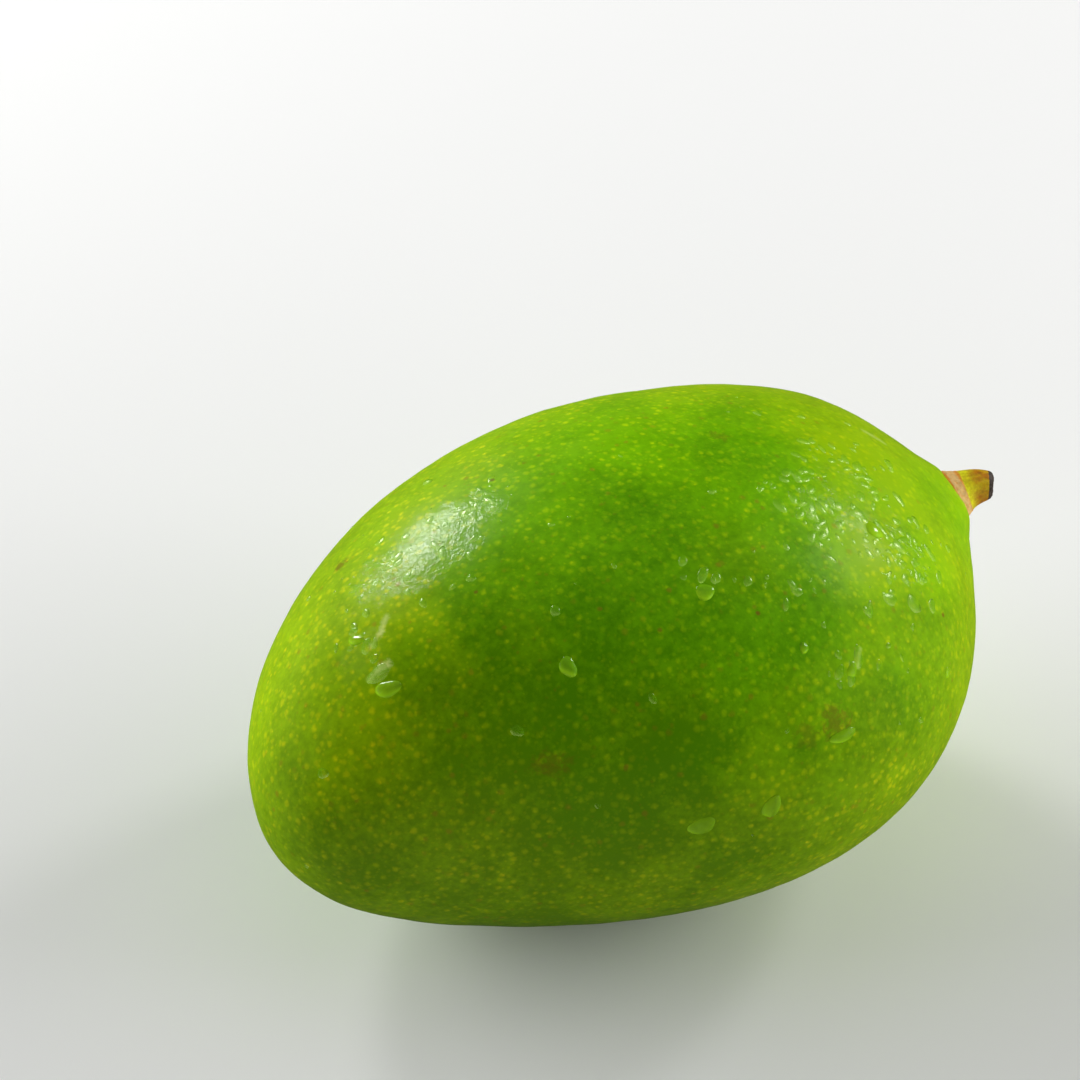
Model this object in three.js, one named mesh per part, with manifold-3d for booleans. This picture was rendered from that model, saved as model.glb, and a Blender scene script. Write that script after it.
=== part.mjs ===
// A green, unripe mango lying on one cheek, with the stub of stalk that it was picked with.
//
// Millimetres, +Z up. +X runs from the rounded tip to the stalk end. The belly, which has the
// slight hollow near the tip that growers call the sinus, faces -Y, and the back faces +Y.
// The origin is under the middle of the whole part, at the level of the flat spot it lies on.

import * as THREE from 'three';
import { mergeVertices } from 'three/addons/utils/BufferGeometryUtils.js';
import Module from 'manifold-3d';

// Fruit: driving dimensions.
const LENGTH = 106; // tip to stalk end
const BACK_REACH = 34.3; // long axis to the back, at the waist
const BELLY_REACH = 32.1; // long axis to the belly, half way down the sinus
const THICKNESS = 59.4; // cheek to cheek
const REST_DEPTH = 0.4; // how much of the lower cheek the flat spot takes off

// Fruit: how the form departs from a plain egg. Places along the fruit run from -1 at the tip to
// 1 at the stalk end.
const BELLY_SWELL = 0.376; // the belly's reach past the sinus, as a share of BELLY_REACH
const SINUS_PLACE = -0.42; // where the belly steps in towards the tip
const SINUS_SPAN = 0.5; // how gently it steps in
const BACK_TAPER = -0.012; // the back is this much less full at the stalk end
const CHEEK_TAPER = 0.017; // and the cheeks this much fuller
const CHEEK_FULLNESS = 0.02; // squareness of the cross-section
const END_SKEW = 1.9; // both ends turn this far, the stalk end to the back, the tip to the belly
const END_LIFT = 1.5; // and this far, the stalk end up and the tip down
const SHOULDER_RISE = 2.5; // low mound of flesh under the stalk
const SHOULDER_SPAN = 0.21; // its half width, in radians on the unit sphere

// Stalk: driving dimensions. Heights are above the skin at the stalk's seat.
const SEAT_TOWARDS = new THREE.Vector3(1, -0.215, 0.185).normalize(); // its place on the unit sphere
const COLLAR_RADIUS = 3.35;
const COLLAR_HEIGHT = 0.6;
const PLUG_DEPTH = 1.2; // the collar goes this far down into its socket
const PLUG_CHAMFER = 0.4;
const NECK_RADIUS = 2.95; // foot of the stub, just above the collar
const TAPER_RADIUS = 2.5; // the stub's sides bow out towards this radius
const TAPER_HEIGHT = 3; // at this height
const STUB_LENGTH = 5;
const STUB_RADIUS = 1.75; // at the cut end
const CUT_ROUNDING = 0.5;
const CUT_HOLLOW = 0.3; // the pith has dried and sunk this far into the cut end
const LEAN = THREE.MathUtils.degToRad(30); // how far the stub bends over
const LEAN_TOWARDS = new THREE.Vector3(0, -1, -0.5); // to the belly side and down
const GAP = 0.3; // clearance between the stalk and its socket

// How finely the curved faces are divided.
const FRUIT_DIVISIONS = 20; // along each edge of the cube that is rounded into the fruit
const STALK_SIDES = 28;
const CURVE_STEPS = 5;

// A point of the skin for each direction of a unit sphere, before the mound under the stalk.
function eggPoint(direction) {
  const along = direction.x;
  const girth = Math.hypot(direction.y, direction.z);
  const across = girth > 0 ? direction.y / girth : 1;
  const upward = girth > 0 ? direction.z / girth : 0;
  const belly = BELLY_REACH * (1 + BELLY_SWELL * Math.tanh((along - SINUS_PLACE) / SINUS_SPAN));
  const back = BACK_REACH * (1 + BACK_TAPER * along);
  const cheek = (THICKNESS / 2) * (1 + CHEEK_TAPER * along);
  const fullness = 1 + CHEEK_FULLNESS * girth * (2 * across * upward) ** 2;
  const halfWidth = (girth * (back + belly)) / 2;
  const sidestep = (girth ** 2 * (back - belly)) / 2;
  return new THREE.Vector3(
    (LENGTH / 2) * along,
    halfWidth * across * fullness + sidestep * across ** 2 + END_SKEW * along ** 3,
    cheek * girth * upward * fullness + END_LIFT * along ** 3,
  );
}

// The way the skin faces at a direction, from two short steps along it.
function eggNormal(direction) {
  const step = 0.001;
  const sideways = new THREE.Vector3(0, 0, 1).cross(direction).normalize();
  const upwards = direction.clone().cross(sideways);
  const here = eggPoint(direction);
  const aside = eggPoint(direction.clone().addScaledVector(sideways, step).normalize());
  const above = eggPoint(direction.clone().addScaledVector(upwards, step).normalize());
  return aside.sub(here).cross(above.sub(here)).normalize();
}

const SEAT_NORMAL = eggNormal(SEAT_TOWARDS);

// A point of the finished skin, with the mound under the stalk.
function skinPoint(direction) {
  const away = direction.angleTo(SEAT_TOWARDS) / SHOULDER_SPAN;
  return eggPoint(direction).addScaledVector(SEAT_NORMAL, SHOULDER_RISE * Math.exp(-(away ** 2)));
}

const SEAT_POINT = skinPoint(SEAT_TOWARDS);

// Only the positions of a geometry, with vertices in one place made one.
function welded(geometry) {
  geometry.deleteAttribute('normal');
  geometry.deleteAttribute('uv');
  return mergeVertices(geometry, 0.00001);
}

// A cube's face coordinate, spaced so that equal steps on the cube are equal angles on the sphere.
function evenAngle(coordinate) {
  return Math.tan((coordinate * Math.PI) / 4);
}

// The fruit's skin: a cube rounded to a sphere, then to the mango's form, and pressed flat below.
function fruitSkin() {
  const divisions = FRUIT_DIVISIONS;
  const skin = welded(new THREE.BoxGeometry(2, 2, 2, divisions, divisions, divisions));
  const position = skin.attributes.position;
  const direction = new THREE.Vector3();
  const floor = REST_DEPTH - (THICKNESS / 2);
  for (let i = 0; i < position.count; i += 1) {
    direction.fromBufferAttribute(position, i);
    direction.set(evenAngle(direction.x), evenAngle(direction.y), evenAngle(direction.z));
    const point = skinPoint(direction.normalize());
    position.setXYZ(i, point.x, point.y, Math.max(point.z, floor));
  }
  return skin;
}

// Turns and moves a geometry whose axis is +Y on to the seat. Its +X goes the way the stub leans.
function placeOnSeat(geometry) {
  const lean = LEAN_TOWARDS.clone().projectOnPlane(SEAT_NORMAL).normalize();
  const third = lean.clone().cross(SEAT_NORMAL);
  const placing = new THREE.Matrix4().makeBasis(lean, SEAT_NORMAL, third);
  return geometry.applyMatrix4(placing.setPosition(SEAT_POINT));
}

// What is cut out of the fruit for the stalk's plug: a round hole, open above.
function socketCutter() {
  const radius = COLLAR_RADIUS + GAP;
  const depth = PLUG_DEPTH + GAP;
  const height = depth + SHOULDER_RISE;
  const cutter = welded(new THREE.CylinderGeometry(radius, radius, height, STALK_SIDES));
  return placeOnSeat(cutter.translate(0, height / 2 - depth, 0));
}

// The stalk's outline from the foot of its plug to the middle of its cut end: radius, height.
function stalkOutline() {
  const outline = new THREE.Path();
  outline.moveTo(0, -PLUG_DEPTH);
  outline.lineTo(COLLAR_RADIUS - PLUG_CHAMFER, -PLUG_DEPTH);
  outline.lineTo(COLLAR_RADIUS, PLUG_CHAMFER - PLUG_DEPTH);
  outline.lineTo(COLLAR_RADIUS, COLLAR_HEIGHT / 2);
  outline.quadraticCurveTo(COLLAR_RADIUS, COLLAR_HEIGHT, NECK_RADIUS, COLLAR_HEIGHT);
  outline.quadraticCurveTo(TAPER_RADIUS, TAPER_HEIGHT, STUB_RADIUS, STUB_LENGTH - CUT_ROUNDING);
  outline.quadraticCurveTo(STUB_RADIUS, STUB_LENGTH, STUB_RADIUS - CUT_ROUNDING, STUB_LENGTH);
  outline.lineTo(0, STUB_LENGTH - CUT_HOLLOW);
  return outline.getPoints(CURVE_STEPS);
}

// Bends what stands above the collar along an arc, over to +X.
function leanOver(geometry) {
  const position = geometry.attributes.position;
  const radius = (STUB_LENGTH - COLLAR_HEIGHT) / LEAN;
  for (let i = 0; i < position.count; i += 1) {
    const angle = (position.getY(i) - COLLAR_HEIGHT) / radius;
    if (angle > 0) {
      const reach = radius - position.getX(i);
      position.setX(i, radius - reach * Math.cos(angle));
      position.setY(i, COLLAR_HEIGHT + reach * Math.sin(angle));
    }
  }
  return geometry;
}

const wasm = await Module();
wasm.setup();

// A closed, welded geometry as a manifold-3d solid, and back.
function solid(geometry) {
  return new wasm.Manifold(new wasm.Mesh({
    numProp: 3,
    vertProperties: new Float32Array(geometry.attributes.position.array),
    triVerts: new Uint32Array(geometry.index.array),
  }));
}

function geometryOf(manifold) {
  const mesh = manifold.getMesh();
  const geometry = new THREE.BufferGeometry();
  geometry.setAttribute('position', new THREE.BufferAttribute(mesh.vertProperties, 3));
  geometry.setIndex(new THREE.BufferAttribute(mesh.triVerts, 1));
  geometry.computeVertexNormals();
  return geometry;
}

// The whole fruit, flesh and skin as one solid, with the stalk's socket.
function makeFruit() {
  const geometry = geometryOf(solid(fruitSkin()).subtract(solid(socketCutter())));
  const skin = new THREE.MeshStandardMaterial({ color: 0x6f9c22, roughness: 0.3, metalness: 0 });
  const fruit = new THREE.Mesh(geometry, skin);
  fruit.name = 'fruit';
  return fruit;
}

// The stub of stalk with its corky collar, standing in the socket.
function makeStalk() {
  const geometry = placeOnSeat(leanOver(welded(new THREE.LatheGeometry(stalkOutline(), STALK_SIDES))));
  geometry.computeVertexNormals();
  const bark = new THREE.MeshStandardMaterial({ color: 0x9a7a1c, roughness: 0.75, metalness: 0 });
  const stalk = new THREE.Mesh(geometry, bark);
  stalk.name = 'stalk';
  return stalk;
}

const mango = new THREE.Group();
mango.add(makeFruit(), makeStalk());

// The origin goes under the middle of the part, on the flat spot.
const extent = new THREE.Box3().setFromObject(mango);
const middle = extent.getCenter(new THREE.Vector3());
mango.position.set(-middle.x, -middle.y, -extent.min.z);

export default mango;
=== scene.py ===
"""A green, unripe mango on one cheek, freshly washed, with its stub of stalk and a studio stage.

It is laid out as a Blender add-on and run as a script. Sizes are in metres, +Z is up, +X runs from
the fruit's tip to its stalk end, and the belly faces -Y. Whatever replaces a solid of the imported
model takes its place and its sizes from that solid.
"""

import random
from functools import partial
from math import atan2, cos, hypot, pi, radians, sin, sqrt

import bpy
import numpy as np
from bpy.props import FloatProperty, FloatVectorProperty, IntProperty, PointerProperty
from mathutils import Matrix, Vector, noise
from mathutils.bvhtree import BVHTree


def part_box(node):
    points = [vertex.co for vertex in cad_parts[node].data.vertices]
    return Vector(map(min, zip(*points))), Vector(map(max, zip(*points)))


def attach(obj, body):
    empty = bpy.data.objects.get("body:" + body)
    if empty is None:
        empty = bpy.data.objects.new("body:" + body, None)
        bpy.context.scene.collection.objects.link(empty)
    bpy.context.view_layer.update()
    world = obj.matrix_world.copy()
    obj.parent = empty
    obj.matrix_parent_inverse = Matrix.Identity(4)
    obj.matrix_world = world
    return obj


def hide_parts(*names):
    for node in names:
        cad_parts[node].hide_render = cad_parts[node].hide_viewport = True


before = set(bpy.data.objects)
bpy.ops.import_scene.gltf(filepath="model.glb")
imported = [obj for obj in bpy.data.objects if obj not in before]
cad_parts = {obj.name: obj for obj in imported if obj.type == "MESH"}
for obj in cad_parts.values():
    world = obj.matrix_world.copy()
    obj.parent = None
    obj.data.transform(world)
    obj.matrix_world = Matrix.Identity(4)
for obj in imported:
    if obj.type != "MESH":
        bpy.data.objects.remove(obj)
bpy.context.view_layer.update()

bl_info = {
    "name": "Green mango",
    "version": (1, 0, 0),
    "blender": (4, 5, 0),
    "location": "View3D > Sidebar > Mango",
    "description": "Builds a washed green mango, its stalk and a studio stage",
    "category": "Add Mesh",
}

MM = 0.001
SOCKET_GAP = 0.3 * MM  # between the stalk's plug and the solid fruit
PICTURE = 1080  # pixels across the camera's square picture
FRUIT_MIDDLE = Vector((0, 0, 30 * MM))
OUTSIDE = 0.2  # metres from the fruit's middle, clear of the fruit

# Settings that are colours, and ones that are small lengths.
ColourProperty = partial(FloatVectorProperty, subtype="COLOR")
LengthProperty = partial(FloatProperty, subtype="DISTANCE", unit="LENGTH", precision=5)


# -------- small helpers

def clamp(value):
    return min(1.0, max(0.0, value))


def deselect():
    for other in bpy.context.selected_objects:
        other.select_set(False)


def only(piece):
    """Makes one object the only selected one, and the active one."""
    deselect()
    piece.select_set(True)
    bpy.context.view_layer.objects.active = piece


def edit(piece):
    """Opens a piece in edit mode with everything selected."""
    only(piece)
    bpy.ops.object.mode_set(mode="EDIT")
    bpy.ops.mesh.select_all(action="SELECT")


def done():
    bpy.ops.object.mode_set(mode="OBJECT")


def modify(piece, kind, **settings):
    """Adds a modifier with these settings and applies it."""
    only(piece)
    modifier = piece.modifiers.new(kind.title(), kind)
    for name, value in settings.items():
        setattr(modifier, name, value)
    bpy.ops.object.modifier_apply(modifier=modifier.name)


def points_of(piece, what="co"):
    """The places of a mesh's vertices, or their normals, as an array of rows."""
    flat = np.empty(len(piece.data.vertices) * 3)
    piece.data.vertices.foreach_get(what, flat)
    return flat.reshape(-1, 3)


def move_points(piece, points):
    piece.data.vertices.foreach_set("co", np.ascontiguousarray(points).ravel())
    piece.data.update()


def paint(piece, name, values):
    """Keeps one number for each vertex, for a material to read."""
    layer = piece.data.attributes.new(name, "FLOAT", "POINT")
    layer.data.foreach_set("value", np.ascontiguousarray(values, dtype=np.float32))


def turn_up(name, outline, sides):
    """Extrudes a round piece upright, ring by ring, from its foot to its top. The outline gives
    the radius and height of each ring in millimetres."""
    radius, height = outline[0]
    deselect()
    bpy.ops.mesh.primitive_circle_add(
        vertices=sides, radius=radius * MM, fill_type="NGON", location=(0, 0, height * MM))
    piece = bpy.context.object
    piece.name = name
    bpy.ops.object.transform_apply(location=True, rotation=False, scale=False)
    edit(piece)
    for next_radius, next_height in outline[1:]:
        step = (next_height - height) * MM
        bpy.ops.mesh.extrude_region_move(TRANSFORM_OT_translate={"value": (0, 0, step)})
        share = next_radius / radius
        middle = (0, 0, next_height * MM)
        bpy.ops.transform.resize(value=(share, share, 1), center_override=middle)
        radius, height = next_radius, next_height
    bpy.ops.mesh.select_all(action="SELECT")
    bpy.ops.mesh.normals_make_consistent(inside=False)
    done()
    return piece


def copy_of(piece, name):
    """A copy of a piece with a mesh of its own."""
    made = bpy.data.objects.new(name, piece.data.copy())
    bpy.context.scene.collection.objects.link(made)
    return made


def settle(piece, stands_for, material):
    """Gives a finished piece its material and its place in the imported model."""
    piece.data.materials.clear()
    piece.data.materials.append(material)
    only(piece)
    bpy.ops.object.shade_smooth()
    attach(piece, "root")
    if stands_for:
        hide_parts(stands_for)


# -------- where the stalk is

class Seat:
    """Where the stalk is, read from its solid: the middle of its plug's foot, the plug's radius,
    the way it stands and the way it leans."""
    LEVEL_SLACK = 0.01 * MM
    CUT_FROM = 0.86  # the share of its reach above which it is the cut end
    PLUG_TO = 0.25  # and the share below which it is the plug

    def __init__(self):
        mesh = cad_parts["stalk"].data
        flats = {}
        for face in mesh.polygons:
            facing = tuple(round(part, 2) for part in face.normal)
            flats.setdefault(facing, []).append(face)
        foot_faces = max(flats.values(), key=lambda faces: sum(face.area for face in faces))
        self.axis = -sum((face.normal * face.area for face in foot_faces), Vector()).normalized()
        points = [vertex.co.copy() for vertex in mesh.vertices]
        level = min(point.dot(self.axis) for point in points)
        foot = [p for p in points if p.dot(self.axis) - level < self.LEVEL_SLACK]
        self.foot = sum(foot, Vector()) / len(foot)
        reach = max(self.height(point) for point in points)
        plug = [p for p in points if self.height(p) < self.PLUG_TO * reach]
        self.radius = max(self.off_axis(point) for point in plug)
        end = [p for p in points if self.height(p) > self.CUT_FROM * reach]
        lean = sum(end, Vector()) / len(end) - self.foot
        self.lean = (lean - lean.dot(self.axis) * self.axis).normalized()

    def height(self, point):
        return (point - self.foot).dot(self.axis)

    def off_axis(self, point):
        return (point - self.foot - self.height(point) * self.axis).length

    def placing(self):
        """Turns a piece made upright about Z, leaning to +X, on to the seat."""
        turning = Matrix((self.lean, self.axis.cross(self.lean), self.axis)).transposed()
        return Matrix.Translation(self.foot) @ turning.to_4x4()


# -------- material helpers

def set_inputs(node, values):
    """Links the sockets among the values to a node's inputs, and sets the other values on it."""
    for name, value in values.items():
        if isinstance(value, bpy.types.NodeSocket):
            node.id_data.links.new(value, node.inputs[name])
        else:
            node.inputs[name].default_value = value


def add(where, kind, inputs, **settings):
    """Adds a shader node to a tree, or to the tree that a socket or node is in."""
    made = where.id_data.nodes.new("ShaderNode" + kind)
    for name, value in settings.items():
        setattr(made, name, value)
    set_inputs(made, inputs)
    return made


def math_node(operation, a, b, clamp=False):
    made = add(a, "Math", {0: a, 1: b}, operation=operation, use_clamp=clamp)
    return made.outputs[0]


def plus(a, b):
    return math_node("ADD", a, b)


def times(a, b):
    return math_node("MULTIPLY", a, b)


def vector_node(operation, a, b):
    return add(a, "VectorMath", {0: a, 1: b}, operation=operation).outputs


def band(value, start, end, low=0.0, high=1.0):
    """Runs smoothly from low to high as the value goes from start to end."""
    made = add(value, "MapRange",
               {"Value": value, "From Min": start, "From Max": end, "To Min": low, "To Max": high},
               interpolation_type="SMOOTHSTEP")
    return made.outputs[0]


def mix(share, under, over, blend="MIX"):
    """Lays one colour over another. Each is a socket or its red, green and blue."""
    under, over = (part if isinstance(part, bpy.types.NodeSocket) else (*part, 1.0)
                   for part in (under, over))
    where = share if isinstance(share, bpy.types.NodeSocket) else under
    made = add(where, "Mix", {0: share, 6: under, 7: over},
               data_type="RGBA", blend_type=blend, clamp_factor=True)
    return made.outputs[2]


def clouds(place, scale, detail=3.0, roughness=0.5, distortion=0.0):
    made = add(place, "TexNoise",
               {"Vector": place, "Scale": scale, "Detail": detail, "Roughness": roughness,
                "Distortion": distortion})
    return made.outputs["Fac"]


def cells(place, scale):
    return add(place, "TexVoronoi", {"Vector": place, "Scale": scale, "Randomness": 0.85})


def parts_of(place):
    """How far along, how far towards the back and how high a place is."""
    return add(place, "SeparateXYZ", {0: place}).outputs


def bump(height, strength, distance):
    made = add(height, "Bump", {"Height": height, "Strength": strength, "Distance": distance})
    return made.outputs[0]


def new_material(name):
    """A plain material, its shader, and the socket that tells the place on the piece."""
    made = bpy.data.materials.new(name)
    made.use_nodes = True
    tree = made.node_tree
    tree.nodes.clear()
    shader = add(tree, "BsdfPrincipled", {})
    add(tree, "OutputMaterial", {0: shader.outputs[0]})
    place = add(tree, "TexCoord", {}).outputs["Object"]
    return made, shader, place


def attribute(shader, name):
    return add(shader, "Attribute", {}, attribute_name=name).outputs["Fac"]


# -------- the fruit's skin

class SkinSettings(bpy.types.PropertyGroup):
    """Sizes and colours of the fruit's skin."""
    deep: ColourProperty(
        name="Deep green", description="The darker skin of the belly's upper side",
        default=(0.072, 0.245, 0.0004))
    bright: ColourProperty(
        name="Bright green", description="The paler skin towards the stalk and the back",
        default=(0.186, 0.49, 0.0008))
    ripening: ColourProperty(
        name="Yellow cast",
        description="What the green is multiplied by where the skin is yellower", min=0.0,
        max=3.0, default=(1.6, 1.0, 1.5))
    lenticel: ColourProperty(
        name="Pores' cast",
        description="What the green is multiplied by in its pale breathing pores", min=0.0,
        max=4.0, default=(2.0, 1.36, 2.0))
    cork: ColourProperty(
        name="Scuffs", description="Healed rubs and corky specks", default=(0.17, 0.1, 0.008))
    # The same colour also paints the highlights of two drops.
    bloom_and_painted_glint: ColourProperty(
        name="Bloom", description="The pale trails that dried drops leave",
        default=(0.72, 0.8, 0.26))
    pore_spacing: LengthProperty(
        name="Pore spacing", description="Usual distance from one large pore to the next",
        default=1.25 * MM)
    dents: LengthProperty(
        name="Unevenness", description="How far the skin swells and dips from a perfect form",
        default=0.35 * MM)
    dimples: LengthProperty(
        name="Dimples", description="How far the skin's fine dimples go in and out",
        default=0.03 * MM)
    fineness: IntProperty(
        name="Fineness", description="How many times each edge of the starting cube is halved",
        default=7, min=4, max=7)


SAME_PLACE = 0.001 * MM
RIM_SLACK = 0.05 * MM  # how far outside the socket's wall its faces may reach
SOCKET_DEPTH = 5 * MM  # and how far below the plug's foot
PATCH_MARGIN = 1.2 * MM  # the patch over the socket rises over this width
PATCH_RISE = 0.15 * MM

# How the skin departs from a perfect form. The waves are given per metre.
SWELL_WAVES = 45
DIP_WAVES = 150
DIMPLE_WAVES = 520
DIP_SHARE = 0.35  # the dips' height as a share of the swells'
CALM_FLOOR = 3 * MM  # the swells fade out this near to the floor
CALM_STALK = 12 * MM  # and this near to the stalk
MOUND_HEIGHT = 0.3 * MM  # the low ring of flesh round the stalk's collar
MOUND_REACH = 7.5  # how far out from the plug's foot it ends, in millimetres
MOUND_SLOPE = 3  # and the width over which it fades, in millimetres


def smooth_form(seat):
    """A smooth copy of the fruit's solid, with the socket for its stalk closed over."""
    form = copy_of(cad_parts["fruit"], "fruit_form")
    edit(form)
    bpy.ops.mesh.customdata_custom_splitnormals_clear()
    bpy.ops.mesh.remove_doubles(threshold=SAME_PLACE)
    bpy.ops.mesh.select_all(action="DESELECT")
    done()
    rim = seat.radius + SOCKET_GAP + RIM_SLACK
    for face in form.data.polygons:
        corners = [form.data.vertices[i].co for i in face.vertices]
        near = all(seat.off_axis(corner) < rim for corner in corners)
        face.select = near and seat.height(face.center) > -SOCKET_DEPTH
    bpy.ops.object.mode_set(mode="EDIT")
    bpy.ops.mesh.delete(type="FACE")
    bpy.ops.mesh.select_all(action="SELECT")
    bpy.ops.mesh.region_to_loop()
    bpy.ops.mesh.edge_face_add()
    bpy.ops.mesh.inset(thickness=PATCH_MARGIN, depth=PATCH_RISE)
    bpy.ops.mesh.select_all(action="SELECT")
    bpy.ops.mesh.tris_convert_to_quads()
    done()
    modify(form, "SUBSURF", levels=3, render_levels=3)
    return form


def make_skin(settings):
    seat = Seat()
    form = smooth_form(seat)
    low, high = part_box("fruit")
    half = (high - low) / 2
    bpy.ops.mesh.primitive_cube_add(size=2, location=(0, 0, 0))
    skin = bpy.context.object
    skin.name = "mango_skin"
    modify(skin, "SUBSURF", levels=settings.fineness, render_levels=settings.fineness)
    modify(skin, "CAST", cast_type="SPHERE", factor=1.0, radius=1.0, use_radius_as_size=True)
    edit(skin)
    bpy.ops.transform.resize(value=half)
    bpy.ops.transform.translate(value=(low + high) / 2)
    done()
    modify(skin, "SHRINKWRAP", target=form, wrap_method="NEAREST_SURFACEPOINT")
    modify(skin, "SMOOTH", factor=0.5, iterations=6)
    bpy.data.objects.remove(form)
    roughen(skin, seat, settings)
    return skin


def roughen(skin, seat, settings):
    """Gives the perfect form the slight swells and dips of a grown fruit."""
    points = points_of(skin)
    normals = points_of(skin, "normal")
    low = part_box("fruit")[0]
    seat_point = np.array(seat.foot)
    for i, point in enumerate(points):
        place = Vector(point)
        swell = noise.noise(place * SWELL_WAVES) + DIP_SHARE * noise.noise(place * DIP_WAVES)
        swell += settings.dimples / settings.dents * noise.noise(place * DIMPLE_WAVES)
        free = min(1.0, (point[2] - low.z) / CALM_FLOOR)
        from_seat = np.linalg.norm(point - seat_point)
        free *= min(1.0, from_seat / CALM_STALK)
        ring = atan2(place.z - seat.foot.z, place.y - seat.foot.y)
        mound = MOUND_HEIGHT * clamp((MOUND_REACH - from_seat / MM) / MOUND_SLOPE)
        mound *= 1 + 0.3 * sin(2 * ring + 1)
        points[i] += normals[i] * (swell * settings.dents * free + mound)
    points[:, 2] = np.maximum(points[:, 2], low.z)
    move_points(skin, points)


# Healed marks on the skin: where the camera sees them in a picture 1080 pixels square, their
# half width in millimetres, how dark they are, and whether they are ragged smears or small specks.
MARKS = (
    (552, 764, 1.9, 0.34, "smear"), (836, 722, 2.3, 0.45, "smear"), (806, 738, 1.7, 0.25, "smear"),
    (492, 480, 0.45, 0.9, "speck"), (758, 613, 0.4, 0.8, "speck"), (943, 615, 0.45, 0.8, "speck"),
    (660, 630, 0.45, 0.6, "speck"), (719, 436, 1.3, 0.3, "smear"), (340, 565, 1.3, 0.65, "smear"),
    (476, 592, 0.35, 0.7, "speck"), (538, 767, 1.3, 0.22, "smear"), (566, 760, 1.1, 0.2, "smear"),
)

# Pale trails that dried drops left, and painted highlights of drops in the rows from 370, 679 to
# 386, 665 and from 860, 648 to 858, 667: both ends as the camera sees them, their half width in
# millimetres and their strength.
TRAILS_AND_PAINTED_GLINTS = (
    (386, 617, 381, 632, 0.75, 0.48), (381, 632, 371, 647, 0.6, 0.36),
    (370, 679, 378, 671, 0.7, 0.45), (378, 670, 386, 665, 1, 0.62), (860, 648, 858, 667, 0.45, 0.3),
    (864, 431, 884, 443, 0.8, 0.25),
)

# Places where the green differs: where the camera sees them, their reach in millimetres, how much
# paler they are, and how much yellower. The row at 872, 562 is partly a paler, yellower patch and
# partly a painted highlight where the right window's reflection falls.
TONES = (
    (932, 560, 9, 0.4, -0.3), (949, 505, 13, -0.1, -0.6), (872, 562, 9, 0.6, 0.25),
    (885, 480, 10, 0.6, -0.1), (410, 665, 8, -0.2, -0.25), (465, 735, 11, -0.25, -0.25),
    (400, 525, 11, 0.4, 0.1), (385, 618, 8, 0.15, 0.2), (425, 625, 6, 0.3, 0),
    (380, 740, 9, 0.2, 0), (755, 775, 8, 0.3, 0), (745, 445, 13, -0.6, -0.5),
    (655, 515, 12, -0.3, 0), (876, 730, 10, -0.4, -0.15), (290, 765, 7, -0.2, 0),
    (345, 868, 13, -0.4, 0), (780, 885, 15, 0.4, 0), (640, 892, 11, 0.3, 0),
    (680, 738, 9, -0.3, -0.1), (740, 685, 8, 0, -0.25), (825, 785, 9, 0, -0.25),
    (740, 560, 9, 0, 0.25),
)

CHEEK = (-3 * MM, -9 * MM, 54 * MM)  # the middle of the greenest skin

# The pores, large ones and then small ones between them: their spacing as a share of the usual
# one, their half width as a share of their spacing, and their strength.
PORE_LAYERS = (
    (1.0, 0.52, 0.92),
    (0.62, 0.44, 0.5),
)
PORE_WOBBLE = 0.35 * MM  # how far the pores' edges stray from round


def looked_at(form, x, y):
    """The place and outward direction of a form's surface at a point of the camera's picture, or
    nothing where the camera sees past it."""
    camera = bpy.context.scene.camera
    if camera is None:
        raise RuntimeError("build the stage first: marks and drops are placed by its camera")
    turning = camera.rotation_euler.to_matrix()
    across, down = ((part - PICTURE / 2) / PICTURE * camera.data.sensor_width for part in (x, y))
    ray = turning @ Vector((across, -down, -camera.data.lens))
    return form.ray_cast(camera.location, ray.normalized())[:2]


def seen_at(form, x, y):
    """The same, for a place that has to be on the fruit."""
    place, facing = looked_at(form, x, y)
    if place is None:
        raise RuntimeError(f"nothing of the fruit is seen at {x}, {y}")
    return place, facing


def tree_of(piece):
    """A search tree of a piece's surface, for finding places on it."""
    mesh = piece.data
    points = [vertex.co for vertex in mesh.vertices]
    return BVHTree.FromPolygons(points, [face.vertices for face in mesh.polygons])


def distance_to(place, point):
    return vector_node("DISTANCE", place, tuple(point))["Value"]


def distance_to_line(place, start, end):
    """The distance of a place from the line between two points."""
    line = end - start
    away = vector_node("SUBTRACT", place, start)[0]
    share = vector_node("DOT_PRODUCT", away, line / line.length_squared)["Value"]
    share = math_node("MULTIPLY", share, 1.0, clamp=True)
    nearest = add(place, "VectorMath", {0: line, 3: share}, operation="SCALE").outputs[0]
    return vector_node("DISTANCE", away, nearest)["Value"]


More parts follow.
